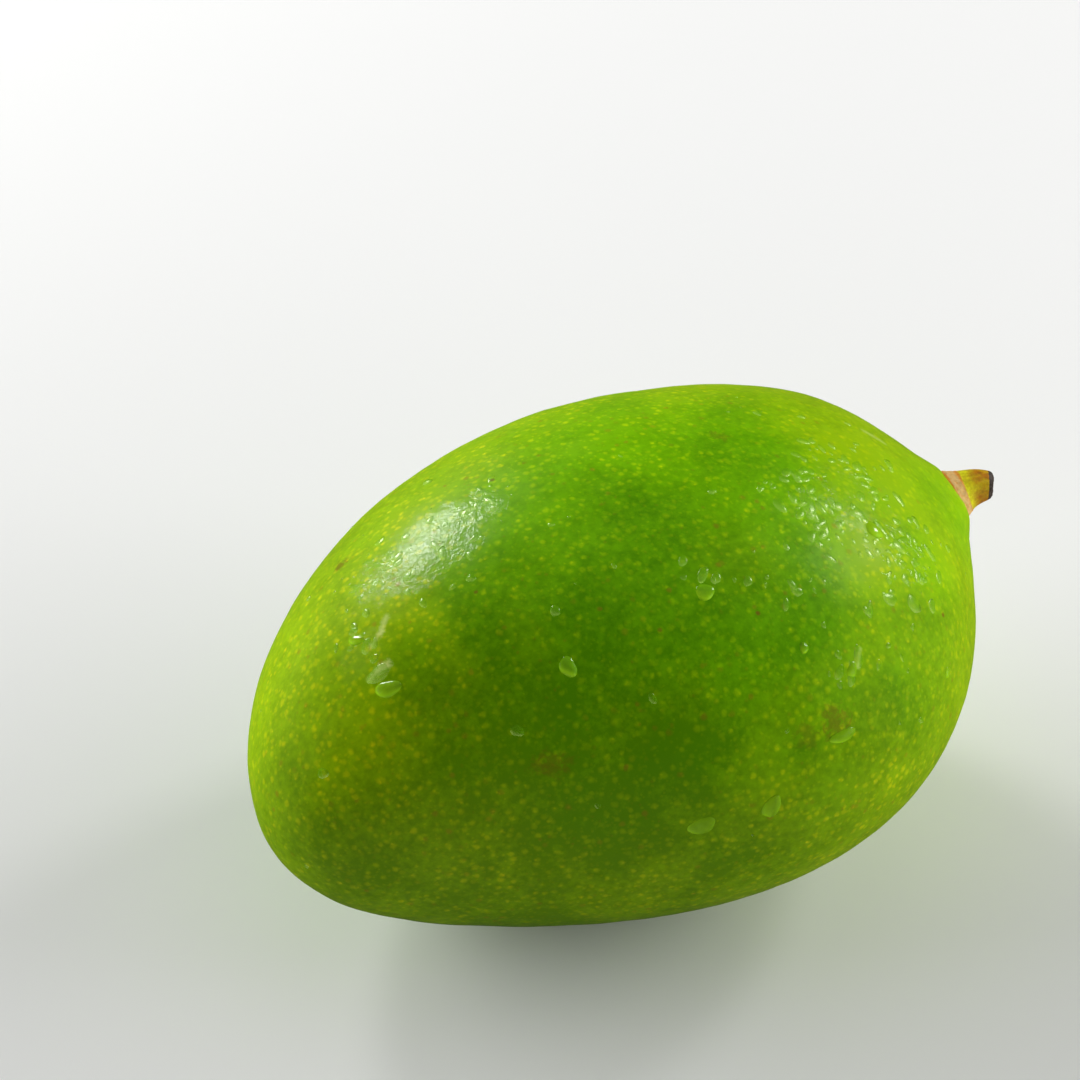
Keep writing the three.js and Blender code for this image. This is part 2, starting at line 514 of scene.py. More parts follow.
def green(place, form, settings):
    """The skin's colour before its pores and marks: a darker green cheek that is paler towards
    the stalk and the back, and yellower away from the middle of the cheek."""
    along, sideways, up = parts_of(place)
    broad = clouds(place, 45, 3, 0.55, 0.6)
    middling = clouds(place, 160, 3, 0.6)
    fine = clouds(place, 900, 3, 0.65)
    to_stalk = band(along, -30 * MM, 34 * MM, 0.0, 0.62)
    to_back = band(sideways, -30 * MM, 22 * MM, 0.0, 0.78)
    paleness = math_node("MINIMUM", plus(to_stalk, to_back), 0.95)
    for part, spread in ((broad, 0.2), (middling, 0.14), (fine, 0.2)):
        paleness = plus(paleness, band(part, 0.25, 0.75, -spread, spread))
    from_cheek = distance_to(place, CHEEK)
    from_cheek = plus(from_cheek, band(broad, 0.2, 0.8, -7 * MM, 7 * MM))
    yellow = band(from_cheek, 13 * MM, 45 * MM)
    # The listed tones; the one at 872, 562 is partly a painted highlight.
    for x, y, reach, paler, yellower in TONES:
        away = distance_to(place, seen_at(form, x, y)[0])
        tone = band(away, reach * MM, 0.1 * reach * MM)
        paleness = plus(paleness, times(tone, paler))
        if yellower:
            yellow = plus(yellow, times(tone, yellower))
    behind = math_node("SUBTRACT", sideways, up)
    in_front = band(behind, -20 * MM, 10 * MM, 1.0, 0.45)
    paleness = times(paleness, in_front)
    yellow = times(yellow, in_front)
    skin = mix(paleness, settings.deep, settings.bright)
    return mix(yellow, skin, mix(1.0, skin, settings.ripening, "MULTIPLY"))


def with_pores(place, skin, settings):
    """Lays the pores over the skin's colour: large ones, and fainter small ones between them.
    They are fainter near the stalk and on the back. Gives their relief too."""
    along, sideways, up = parts_of(place)
    behind = math_node("SUBTRACT", sideways, up)
    clear = times(band(along, 50 * MM, 5 * MM, 0.35, 1.0),
                  band(behind, -35 * MM, -10 * MM, 1.0, 0.4))
    wobble = add(place, "TexNoise", {"Vector": place, "Scale": 1500.0, "Detail": 1.0})
    shift = vector_node("MULTIPLY", wobble.outputs["Color"], (PORE_WOBBLE,) * 3)[0]
    torn = vector_node("ADD", place, shift)[0]
    relief = None
    for spacing, width, strength in PORE_LAYERS:
        pores = cells(torn, 1 / (spacing * settings.pore_spacing))
        tone = add(place, "SeparateColor", {0: pores.outputs["Color"]})
        reach = times(band(tone.outputs[2], 0, 1, 0.75, 1.0), width)
        pore = band(math_node("DIVIDE", pores.outputs["Distance"], reach), 1.0, 0.25)
        shown = times(times(pore, band(tone.outputs[0], 0, 1, 0.55, 1.0)), clear)
        rusty = band(tone.outputs[1], 0.88, 0.96, 0.0, 0.6)
        pale = mix(1.0, skin, settings.lenticel, "MULTIPLY")
        speck = mix(rusty, pale, settings.cork)
        skin = mix(times(shown, strength), skin, speck)
        relief = pore if relief is None else math_node("MAXIMUM", relief, pore)
    return skin, relief


def with_marks(place, skin, form, settings):
    """Lays healed marks, dried drops' trails and painted drop highlights over the skin's colour."""
    ragged = clouds(place, 900, 4, 0.7, 1.0)

    def stained(away, width, torn, edge, strength, stain):
        away = math_node("DIVIDE", away, width * MM)
        away = plus(away, band(ragged, 0.25, 0.75, -torn, torn))
        return mix(times(band(away, *edge), strength), skin, stain)

    for x, y, width, strength, kind in MARKS:
        away = distance_to(place, seen_at(form, x, y)[0])
        torn = 0.75 if kind == "smear" else 0.15
        skin = stained(away, width, torn, (1.1, 0.3), strength, settings.cork)
    # Pale trails, and painted highlights of drops, in the bloom colour.
    for x, y, end_x, end_y, width, strength in TRAILS_AND_PAINTED_GLINTS:
        start, end = seen_at(form, x, y)[0], seen_at(form, end_x, end_y)[0]
        away = distance_to_line(place, start, end)
        skin = stained(away, width, 0.35, (1.0, 0.0), strength, settings.bloom_and_painted_glint)
    return skin


def skin_material(settings, form):
    made, shader, place = new_material("mango_skin")
    skin = green(place, form, settings)
    skin, pore = with_pores(place, skin, settings)
    skin = with_marks(place, skin, form, settings)
    relief = plus(times(pore, 0.5), clouds(place, 1100, 3, 0.6))
    torn = band(clouds(place, 420, 3, 0.6), 0.3, 0.7, -0.18, 0.18)
    patchy = plus(attribute(shader, "wet"), torn)
    ripples = clouds(place, 1500, 2, 0.6, 0.5)
    set_inputs(shader, {
        "Base Color": skin,
        "Roughness": band(clouds(place, 110, 3, 0.6, 0.5), 0.3, 0.7, 0.32, 0.44),
        "Normal": bump(relief, 0.3, 0.05 * MM),
        "IOR": 1.45,
        "Specular IOR Level": 0.12,
        "Specular Tint": (1.0, 1.0, 0.45, 1.0),
        "Subsurface Weight": 0.12,
        "Subsurface Radius": (0.9, 1.0, 0.2),
        "Subsurface Scale": 1.2 * MM,
        "Coat Weight": band(patchy, 0.2, 0.6),
        "Coat Roughness": 0.2,
        "Coat IOR": 1.36,
        "Coat Normal": bump(ripples, 1.0, 0.12 * MM),
    })
    return made


# Where the skin is wet: the middle of each wet place as the camera sees it, its reach in
# millimetres, and how evenly the water covers it.
WET_PLACES = (
    (441, 533, 6, 1), (414, 568, 5, 1), (482, 505, 4, 0.7), (375, 575, 7, 0.45), (362, 655, 4, 0.7),
    (835, 488, 12, 0.36), (890, 530, 8, 0.3),
)


def wet_the_skin(skin, form):
    """Marks how wet each point of the skin is, for its material."""
    points = points_of(skin)
    wet = np.zeros(len(points))
    for x, y, reach, cover in WET_PLACES:
        middle = np.array(seen_at(form, x, y)[0])
        away = np.linalg.norm(points - middle, axis=1) / (reach * MM)
        wet = np.maximum(wet, np.clip(1.3 - away, 0, 1) * cover)
    paint(skin, "wet", wet)


class MANGO_OT_skin(bpy.types.Operator):
    """Grow the skin of the fruit over its solid"""
    bl_idname = "mango.skin"
    bl_label = "Fruit skin"

    def execute(self, context):
        settings = context.scene.mango_skin
        skin = make_skin(settings)
        form = tree_of(skin)
        wet_the_skin(skin, form)
        settle(skin, "fruit", skin_material(settings, form))
        return {"FINISHED"}


# -------- the stalk

class StalkSettings(bpy.types.PropertyGroup):
    """Sizes and colours of the stub of stalk."""
    collar: ColourProperty(
        name="Collar", description="The corky collar round the stalk's foot",
        default=(0.7, 0.455, 0.17))
    scar: ColourProperty(
        name="Collar's edges", description="The orange edges and cracks of the collar",
        default=(0.7, 0.27, 0.03))
    young: ColourProperty(
        name="Green bark", description="The bark that is still alive, near the collar",
        default=(0.8, 0.76, 0.008))
    bark: ColourProperty(
        name="Brown bark", description="The bark further out", default=(0.52, 0.2, 0.002))
    cut: ColourProperty(
        name="Cut end", description="The dried cut end", default=(0.05, 0.038, 0.029))
    lean: FloatProperty(
        name="Lean", description="How far the stub bends over above its collar",
        default=radians(32), subtype="ANGLE", unit="ROTATION")
    wrinkle: LengthProperty(
        name="Wrinkles", description="Depth of the wrinkles along the bark", default=0.07 * MM)


# The stub's outline in millimetres, from the foot of its plug up: radius, height above the skin.
STUB_OUTLINE = (
    (3.2, -1.9), (3.62, -1.6), (3.8, -1.3), (3.82, -1.05), (3.74, -0.82), (3.62, -0.56),
    (3.46, -0.26), (3.3, 0.04), (3.15, 0.34), (3.02, 0.62), (2.9, 0.92), (2.76, 1.4),
    (2.58, 2.05), (2.38, 2.8), (2.19, 3.5), (2.06, 3.95), (1.98, 4.22), (1.86, 4.48),
    (1.66, 4.71), (1.38, 4.87), (1.05, 4.94), (0.72, 4.84), (0.28, 4.66),
)
STUB_SIDES = 48

# Heights above the skin, and the plug's depth below it, in millimetres.
PLUG_DEPTH = 1.2
COLLAR_TOP = 0.6  # the stub leans over above this
CORK_TOP = 0.7  # the collar's colour ends here
STUB_END = 5.0
CUT_BAND = 1.0  # how far below the end the dark of the cut comes down the sides
CRUMB_DEPTH = 0.07  # the collar's roughness
CUT_ROUGHNESS = 0.14


def grain(ring, height, around, along, start=0):
    """Noise that goes round the stub and up it."""
    return noise.noise(ring * around + Vector((0, 0, height * along + start)))


def grow_bark(stub, settings):
    """Wrinkles the bark, crumbles the collar and roughens the cut, then keeps what the material
    needs: the height along the stub, the share of collar, and the share of cut end."""
    points = points_of(stub)
    collar = np.zeros(len(points))
    cut = np.zeros(len(points))
    for i, (x, y, z) in enumerate(points):
        height = z / MM
        radius = hypot(x, y) / MM
        turn = atan2(y, x)
        ring = Vector((cos(turn), sin(turn), 0))
        on_collar = clamp((CORK_TOP + 0.2 * sin(2 * turn) + 0.15 - height) / 0.3)
        on_bark = clamp((height - COLLAR_TOP) / 0.6) * clamp((radius - 0.9) / 0.5)
        on_cut = clamp((height - STUB_END + CUT_BAND + 0.15 * sin(turn)) / 0.25)
        ridge = grain(ring, height, 3.1, 0.22) + 0.5 * grain(ring, height, 7.3, 0.5, 9)
        crumb = grain(ring, height, 5.0, 1.6, 30) + 0.6 * grain(ring, height, 16.0, 3.0, 50)
        out = on_bark * ridge * settings.wrinkle / MM * 1.6 + on_collar * crumb * CRUMB_DEPTH
        lift = on_collar * (0.08 * noise.noise(ring * 2.2 + Vector((7, 0, 0))) + 0.06 * crumb)
        speckle = noise.noise(Vector((x, y, 0)) / MM * 2.4 + Vector((0, 0, 70)))
        lift += on_cut * CUT_ROUGHNESS * speckle
        share = (radius + out * clamp(radius / 0.5)) / max(radius, 1e-6)
        points[i] = (x * share, y * share, z + lift * MM)
        collar[i] = on_collar
        cut[i] = on_cut
    paint(stub, "height", points[:, 2] / (STUB_END * MM))
    paint(stub, "collar", collar)
    paint(stub, "cut", cut)
    move_points(stub, points)


def lean_over(stub, seat, settings):
    """Bends what stands above the collar over along an arc, and sets the stub on its seat."""
    points = points_of(stub)
    bend = (STUB_END - COLLAR_TOP) * MM / settings.lean
    angles = np.maximum(points[:, 2] - COLLAR_TOP * MM, 0) / bend
    reach = bend - points[:, 0]
    bent = angles > 0
    points[bent, 0] = (bend - reach * np.cos(angles))[bent]
    points[bent, 2] = (COLLAR_TOP * MM + reach * np.sin(angles))[bent]
    move_points(stub, points)
    stub.data.transform(seat.placing() @ Matrix.Translation((0, 0, PLUG_DEPTH * MM)))
    stub.data.update()


def stalk_material(settings):
    made, shader, place = new_material("stalk_bark")
    height = attribute(shader, "height")
    collar = attribute(shader, "collar")
    cut = attribute(shader, "cut")
    broad = clouds(place, 380, 3, 0.6)
    fine = clouds(place, 1900, 4, 0.7)
    up = parts_of(place)[2]
    browning = plus(band(height, 0.16, 0.6, 0.1, 1.0), band(up, 37 * MM, 33 * MM, -0.12, 0.35))
    browning = plus(browning, band(broad, 0.3, 0.7, -0.35, 0.35))
    bark = mix(browning, settings.young, settings.bark)
    bark = mix(band(fine, 0.35, 0.65, 0.3, 0.0), bark, (0.16, 0.07, 0.003))
    dark = band(cells(place, 700).outputs["Distance"], 0.3, 0.1, 0.0, 0.4)
    bark = mix(dark, bark, (0.16, 0.07, 0.004))
    rim = plus(band(height, -0.13, -0.18), band(height, 0.06, 0.15))
    rim = plus(rim, band(fine, 0.55, 0.38, 0.0, 0.5))
    cork = mix(rim, settings.collar, settings.scar)
    bark = mix(band(collar, 0.2, 0.8), bark, cork)
    dry = mix(band(broad, 0.45, 0.7, 0.0, 0.5), settings.cut, (0.15, 0.11, 0.09))
    bark = mix(band(cut, 0.25, 0.75), bark, dry)
    set_inputs(shader, {
        "Base Color": bark,
        "Roughness": band(collar, 0.2, 0.8, 0.48, 0.75),
        "Normal": bump(plus(fine, broad), 0.5, 0.08 * MM),
        "Specular IOR Level": 0.3,
    })
    return made


class MANGO_OT_stalk(bpy.types.Operator):
    """Grow the stub of stalk with its corky collar and cut end"""
    bl_idname = "mango.stalk"
    bl_label = "Stub of stalk"

    def execute(self, context):
        settings = context.scene.mango_stalk
        stub = turn_up("stalk_stub", STUB_OUTLINE, STUB_SIDES)
        modify(stub, "SUBSURF", levels=2, render_levels=2)
        grow_bark(stub, settings)
        lean_over(stub, Seat(), settings)
        settle(stub, "stalk", stalk_material(settings))
        return {"FINISHED"}


# -------- the water

class WaterSettings(bpy.types.PropertyGroup):
    """Sizes of the drops and film of water on the washed skin."""
    film_height: LengthProperty(
        name="Film height", description="How high the broken film of water stands at most",
        default=0.07 * MM)
    film_grain: LengthProperty(
        name="Film grain", description="Usual width of the film's blots and runs",
        default=0.9 * MM)
    beads: IntProperty(
        name="Beads", description="How many small beads lie where the skin is wettest",
        default=170, min=0, max=900)
    stray_beads: IntProperty(
        name="Stray beads", description="How many small beads lie on the rest of the fruit",
        default=45, min=0, max=600)
    seed: IntProperty(name="Seed", description="Changes where the small beads lie", default=4)


DROP_FLATNESS = 0.55  # what the heights of the drops in the tables are multiplied by
CAP_CUT = 0.4  # how far above its middle a ball is cut to give the cap that is a drop
CAP_ROOT = 0.1  # how much of the ball below that cut is kept, inside the skin
DROP_SIDES = 48
SMALL_DROP_SIDES = 28
BEAD_SIDES = 12
SAG = 0.15  # how far a drop's top sags downhill, as a share of its width
STRAY_LEVEL = 12 * MM  # no stray bead lies lower on the fruit
FILM_RAY = 20 * MM  # how far out from the skin a film is laid from
FILM_CELL = 0.13  # the width of a film's faces, in millimetres
FILM_THICKNESS = 0.15 * MM
FILM_RUNS = 0.3  # how much longer its blots are downhill
FILM_CORE = 0.35  # it dries out beyond this share of its reach
FILM_ROOT = 0.05 * MM  # how far below the skin a film's dry parts lie

# The larger drops: where the camera sees them, their length, width and height in millimetres, and
# how far their length is turned from level in the picture, in degrees.
DROPS = (
    (388, 689, 3, 2.2, 0.6, 10), (356, 640, 2.2, 1.6, 0.5, -10), (568, 667, 2.5, 2.1, 0.7, 100),
    (702, 826, 3.6, 2.2, 0.6, 10), (772, 807, 3.4, 2, 0.6, 60), (874, 530, 2.6, 2.5, 0.7, 0),
    (852, 670, 2, 1.5, 0.35, 60), (843, 736, 3.6, 1.6, 0.5, 15), (804, 648, 1.6, 1.1, 0.4, 75),
    (705, 592, 2.6, 2, 0.5, 20), (948, 672, 1.6, 1, 0.35, 60),
)

# The smaller drops, in the same way.
SMALL_DROPS = (
    (378, 674, 3.4, 1.9, 0.45, 38), (858, 657, 3.2, 1.3, 0.3, 88), (807, 502, 4.7, 1.8, 0.32, -73),
    (780, 505, 2.5, 1.7, 0.3, -50), (804, 470, 1.6, 1.3, 0.24, 80), (798, 479, 1.5, 1.3, 0.24, 80),
    (784, 479, 1.5, 1.3, 0.24, 0), (824, 504, 1.8, 1.7, 0.3, 70), (837, 506, 2.1, 1.4, 0.26, 20),
    (857, 466, 2.4, 1.4, 0.26, 85), (803, 441, 2, 1.3, 0.24, 10), (867, 478, 1.7, 1.2, 0.22, 5),
    (866, 485, 1.8, 1.1, 0.19, 0), (861, 496, 2, 1.3, 0.24, 75), (876, 497, 1.7, 1.3, 0.24, 80),
    (898, 498, 2.3, 1.3, 0.24, -50), (857, 513, 2.1, 2.2, 0.39, -40),
    (864, 520, 1.6, 1.4, 0.26, -40), (899, 546, 2.5, 1.9, 0.35, -35),
    (930, 553, 2.4, 1.3, 0.24, -40), (948, 548, 1.5, 1.1, 0.19, 80), (901, 531, 1.6, 1.1, 0.19, 80),
    (909, 536, 1.3, 1, 0.17, 80), (896, 521, 1.5, 1.1, 0.19, 70), (910, 520, 1.3, 1, 0.17, 60),
    (939, 577, 2, 1.2, 0.22, 75), (918, 577, 1.7, 1.3, 0.24, 60), (890, 599, 2.4, 1.7, 0.3, 5),
    (914, 604, 2.8, 1.9, 0.35, -45), (932, 606, 2, 1.4, 0.26, 70), (797, 591, 1.6, 1.4, 0.26, -30),
    (823, 535, 1.7, 1.1, 0.19, 70), (819, 544, 1.5, 1.2, 0.22, -30),
    (830, 558, 1.7, 1.1, 0.19, -20), (716, 578, 1.7, 1.3, 0.24, 80), (748, 581, 1.5, 1.2, 0.22, 80),
    (683, 561, 1.5, 1.1, 0.19, 80), (490, 500, 2.1, 1.3, 0.24, -60),
    (495, 507, 1.6, 1.2, 0.22, -60), (474, 538, 1.5, 1.1, 0.19, 60), (466, 512, 1.7, 1.1, 0.19, 50),
    (380, 541, 1.5, 1.2, 0.22, 40), (397, 557, 1.8, 1.4, 0.26, 40),
)

# How the small beads vary, where the skin is wettest and elsewhere: the widest width in
# millimetres, the root of the least share of it, the greatest length and the least and greatest
# height as shares of the width, and the least and greatest turn in radians.
WET_BEADS = (1.3, 0.55, 2.2, 0.06, 0.14, 0.8, 2.2)
STRAY_BEADS = (1.5, 0.4, 1.5, 0.12, 0.2, 0, 3)

# Where the small beads lie: the middle of each place and its reach as the camera sees them, and
# its share of the beads.
BEADED = (
    (848, 498, 58, 10), (808, 478, 38, 5), (905, 560, 40, 4), (868, 640, 55, 2), (800, 560, 50, 2),
    (700, 590, 40, 1), (775, 440, 60, 1), (430, 560, 45, 2), (492, 500, 22, 1), (360, 635, 28, 1),
)

# The broken films: middle as the camera sees it, reach in millimetres, and how much they leave dry.
FILMS = (
    (845, 485, 8.5, 0.1), (905, 555, 6.5, 0.12), (482, 505, 4, 0.1), (375, 575, 5.5, 0.12),
)


def light_travels():
    """The level way that the light goes, from behind the fruit to in front of it."""
    total = Vector()
    for name, azimuth, *others in LAMPS[:2]:
        total -= Vector((cos(radians(azimuth)), sin(radians(azimuth)), 0))
    return total.normalized()


def frame_on(facing, turn):
    """Two directions along the skin there, the first turned from level in the picture."""
    level = bpy.context.scene.camera.rotation_euler.to_matrix() @ Vector((1, 0, 0))
    level = (level - level.dot(facing) * facing).normalized()
    upward = facing.cross(level)
    first = level * cos(turn) + upward * sin(turn)
    return first, facing.cross(first)


def downhill_on(facing):
    """The way down along the skin there, which is longer where the skin is steeper."""
    return Vector((0, 0, -1)) + facing * facing.z


def bead_template(sides):
    """The cap of a ball, one unit across its foot and one high, with a little below its foot."""
    bpy.ops.mesh.primitive_uv_sphere_add(segments=sides, ring_count=sides * 2 // 3, radius=1)
    bead = bpy.context.object
    edit(bead)
    bpy.ops.mesh.bisect(plane_co=(0, 0, CAP_CUT - CAP_ROOT), plane_no=(0, 0, 1),
                        use_fill=True, clear_inner=True)
    done()
    points = points_of(bead)
    points[:, :2] /= sqrt(1 - CAP_CUT ** 2)
    points[:, 2] = (points[:, 2] - CAP_CUT) / (1 - CAP_CUT)
    move_points(bead, points)
    return bead


def lay_bead(template, place, facing, length, width, height, turn, chance):
    """Copies a bead on to the skin: unevenly round, and sagging a little downhill."""
    bead = copy_of(template, "bead")
    first, second = frame_on(facing, turn)
    downhill = downhill_on(facing)
    phase, other = chance.uniform(0, 6.28), chance.uniform(0, 6.28)
    points = points_of(bead)
    for i, (x, y, z) in enumerate(points):
        around = atan2(y, x)
        uneven = 1 + 0.1 * sin(2 * around + phase) + 0.07 * sin(3 * around + other)
        spot = place + first * (x * uneven * length / 2) + second * (y * uneven * width / 2)
        spot += facing * (z * height) + downhill * (max(z, 0) * SAG * width)
        points[i] = spot
    move_points(bead, points)
    return bead


def lay_drops(form, table, sides, chance):
    template = bead_template(sides)
    laid = []
    for x, y, length, width, height, turn in table:
        place, facing = seen_at(form, x, y)
        laid.append(lay_bead(template, place, facing, length * MM, width * MM,
                             height * DROP_FLATNESS * MM, radians(turn), chance))
    bpy.data.objects.remove(template)
    return laid


def lay_by_chance(template, place, facing, kind, chance):
    """Lays a bead of chance size, length, height and turn."""
    widest, least, longest, low, high, first_turn, last_turn = kind
    size = chance.uniform(least, 1.0) ** 2 * widest * MM
    return lay_bead(template, place, facing, size * chance.uniform(1, longest), size,
                    size * chance.uniform(low, high), chance.uniform(first_turn, last_turn), chance)


def lay_small_beads(form, settings, chance):
    small = bead_template(BEAD_SIDES)
    laid = []
    while len(laid) < settings.beads:
        x, y, reach = chance.choices(BEADED, weights=[share for *spot, share in BEADED])[0][:3]
        away = reach * sqrt(chance.random())
        angle = chance.uniform(0, 2 * pi)
        place, facing = looked_at(form, x + away * cos(angle), y + away * sin(angle))
        if place is None:
            continue
        laid.append(lay_by_chance(small, place, facing, WET_BEADS, chance))
    while len(laid) < settings.beads + settings.stray_beads:
        outward = Vector((chance.uniform(-1, 1), chance.uniform(-1, 1), chance.uniform(-0.2, 1)))
        start = FRUIT_MIDDLE + outward.normalized() * OUTSIDE
        place, facing, index, distance = form.ray_cast(start, -outward.normalized())
        if place is None or place.z < STRAY_LEVEL:
            continue
        laid.append(lay_by_chance(small, place, facing, STRAY_BEADS, chance))
    bpy.data.objects.remove(small)
    return laid


def close_corners(film, kept):
    """Keeps all the faces round a point where only two opposite ones were kept, so that the rim
    of a patch never meets itself."""
    around = [[] for vertex in film.data.vertices]
    for face in film.data.polygons:
        for corner in face.vertices:
            around[corner].append(face)
    changed = True
    while changed:
        changed = False
        for faces in around:
            held = [face for face in faces if kept[face.index]]
            if len(held) == 2 and len(set(held[0].vertices) & set(held[1].vertices)) == 1:
                for face in faces:
                    kept[face.index] = True
                changed = True


def lay_film(form, x, y, reach, dryness, settings):
    """A patch of the skin's surface, raised where water clings in blots and runs."""
    middle, facing = seen_at(form, x, y)
    first, second = frame_on(facing, 0)
    fine = int(reach * 2 / FILM_CELL)
    bpy.ops.mesh.primitive_grid_add(x_subdivisions=fine, y_subdivisions=fine, size=2 * reach * MM)
    film = bpy.context.object
    film.name = "film"
    points = points_of(film)
    depth = np.zeros(len(points))
    downhill = downhill_on(facing).normalized()
    for i, (across, up, unused) in enumerate(points):
        start = middle + first * across + second * up + facing * FILM_RAY
        place, normal, index, distance = form.ray_cast(start, -facing)
        blot = place / settings.film_grain
        blot = blot - downhill * blot.dot(downhill) * FILM_RUNS
        wetness = noise.noise(blot) + 0.55 * noise.noise(blot * 2.1 + Vector((5, 5, 5)))
        edge = hypot(across, up) / (reach * MM)
        wetness -= dryness + 0.75 * max(0.0, edge - FILM_CORE)
        depth[i] = wetness
        swell = clamp(wetness / 0.6)
        height = settings.film_height * swell ** 1.5 * (2.5 - 1.5 * swell)
        points[i] = place + normal * (height if wetness > 0 else -FILM_ROOT)
    move_points(film, points)
    for vertex in film.data.vertices:
        vertex.select = False
    kept = [any(depth[i] > 0 for i in face.vertices) for face in film.data.polygons]
    close_corners(film, kept)
    for face in film.data.polygons:
        face.select = not kept[face.index]
    only(film)
    bpy.ops.object.mode_set(mode="EDIT")
    bpy.ops.mesh.select_mode(type="FACE")
    bpy.ops.mesh.delete(type="FACE")
    done()
    modify(film, "SOLIDIFY", thickness=FILM_THICKNESS, offset=-1)
    return film


def gather(pieces, name):
    """Joins pieces into one."""
    only(pieces[0])
    for piece in pieces:
        piece.select_set(True)
    bpy.ops.object.join()
    made = bpy.context.object
    made.name = name
    return made


def note_painted_light(water, form):
    """Marks the side of each drop where the light that it gathers comes out, where the material
    paints light, and how far each point leans from the skin, where the drops' material paints
    shade round their feet."""
    travels = light_travels()
    normals = points_of(water, "normal")
    painted_glow = np.zeros(len(normals))
    lean = np.zeros(len(normals))
    for i, point in enumerate(points_of(water)):
        place, facing, index, distance = form.find_nearest(Vector(point))
        tilt = Vector(normals[i]) - facing
        along = (travels - travels.dot(facing) * facing).normalized()
        painted_glow[i] = tilt.dot(along)
        lean[i] = tilt.length
    paint(water, "painted_glow", painted_glow)
    paint(water, "lean", lean)


def drop_material(settings, form):
    """Clear water, seen as the skin that shows through it, with painted light and shade: painted
    brighter on the side away from the light, where a drop gathers it, and painted darker round its
    foot."""
    made, shader, place = new_material("water_drop")
    skin = green(place, form, settings)
    # Painted light: the side of a drop away from the light, where it gathers the light, is painted
    # lime.
    painted_gathered_light = band(attribute(shader, "painted_glow"), -0.1, 0.4, 0.17, 0.95)
    # Painted shade: the steep foot of each drop is painted dark.
    foot = band(attribute(shader, "lean"), 0.55, 1.0, 0.0, 0.26)
    seen = mix(painted_gathered_light, skin, (0.37, 0.72, 0.008))
    set_inputs(shader, {
        "Base Color": mix(foot, seen, (0.03, 0.1, 0.001)),
        "Roughness": band(clouds(place, 500, 2), 0.3, 0.7, 0.13, 0.19),
        "IOR": 1.45,
        "Specular IOR Level": 1.0,
    })
    return made


def wetness_material():
    """Water too thin to show anything but its gleam and the edge of its shade, with light painted
    pale on each bead's side away from the light, where it gathers the light.
    """
    made, shader, place = new_material("water_bead")
    # Painted light: each bead's side away from the light is painted pale, where it gathers the
    # light.
    painted_gathered_light = band(attribute(shader, "painted_glow"), -0.1, 0.4)
    set_inputs(shader, {
        "Base Color": mix(painted_gathered_light, (0.16, 0.42, 0.002), (0.6, 0.9, 0.15)),
        "Roughness": band(clouds(place, 500, 2), 0.3, 0.7, 0.2, 0.26),
        "IOR": 1.75,
        "Specular IOR Level": 1.0,
        "Specular Tint": (1.0, 1.0, 0.72, 1.0),
        "Alpha": 0.4,
    })
    return made


class MANGO_OT_water(bpy.types.Operator):
    """Lay drops, small beads and a broken film of water on the skin"""
    bl_idname = "mango.water"
    bl_label = "Water on the skin"

    def execute(self, context):
        settings = context.scene.mango_water
        form = tree_of(bpy.data.objects["mango_skin"])
        chance = random.Random(settings.seed)
        drops = gather(lay_drops(form, DROPS, DROP_SIDES, chance), "water_drops")
        small = lay_drops(form, SMALL_DROPS, SMALL_DROP_SIDES, chance)
        small += lay_small_beads(form, settings, chance)
        beads = gather(small, "water_beads")
        films = [lay_film(form, *film, settings) for film in FILMS]
        film = gather(films, "water_film")
        drop = drop_material(context.scene.mango_skin, form)
        bead = wetness_material()
        for piece, material in ((drops, drop), (beads, bead), (film, bead)):
            note_painted_light(piece, form)
            piece.visible_shadow = False
            settle(piece, None, material)
        return {"FINISHED"}


# -------- the stage

class StageSettings(bpy.types.PropertyGroup):
    """The camera, the lights and the floor."""
    azimuth: FloatProperty(
        name="Camera azimuth",
        description="How far the camera has gone round from the belly side to the tip",
        default=radians(35.43), subtype="ANGLE", unit="ROTATION")
    elevation: FloatProperty(
        name="Camera elevation", description="How high the camera looks down from",
        default=radians(38.36), subtype="ANGLE", unit="ROTATION")
    distance: FloatProperty(
        name="Camera distance", description="From the camera to the middle of the fruit",
        default=0.45, subtype="DISTANCE", unit="LENGTH")
    lens: FloatProperty(
        name="Lens", description="Focal length on a sensor 36 mm wide", default=114.45,
        subtype="DISTANCE_CAMERA")
    floor: ColourProperty(name="Floor", description="The floor", default=(0.86, 0.86, 0.85))


def aim(piece, target):
    direction = target - piece.location
    piece.rotation_euler = direction.to_track_quat("-Z", "Y").to_euler()


# The camera turns round this place, and sees it this far from the middle of its picture.
ORBIT_MIDDLE = Vector((-2.79, 3.56, 29.3)) * MM
SEEN_RIGHT = 9.0 * MM
SEEN_BELOW = 15.04 * MM


def make_camera(settings):
    side = Vector((cos(settings.azimuth), -sin(settings.azimuth), 0))
    level = Vector((sin(settings.azimuth), cos(settings.azimuth), 0))
    ahead = level * cos(settings.elevation) - Vector((0, 0, sin(settings.elevation)))
    above = side.cross(ahead)
    target = ORBIT_MIDDLE - SEEN_RIGHT * side + SEEN_BELOW * above
    bpy.ops.object.camera_add(location=target - ahead * settings.distance)
    camera = bpy.context.object
    camera.name = "camera"
    aim(camera, target)
    camera.data.lens = settings.lens
    camera.data.sensor_width = 36
    camera.data.clip_start = 0.01
    bpy.context.scene.camera = camera


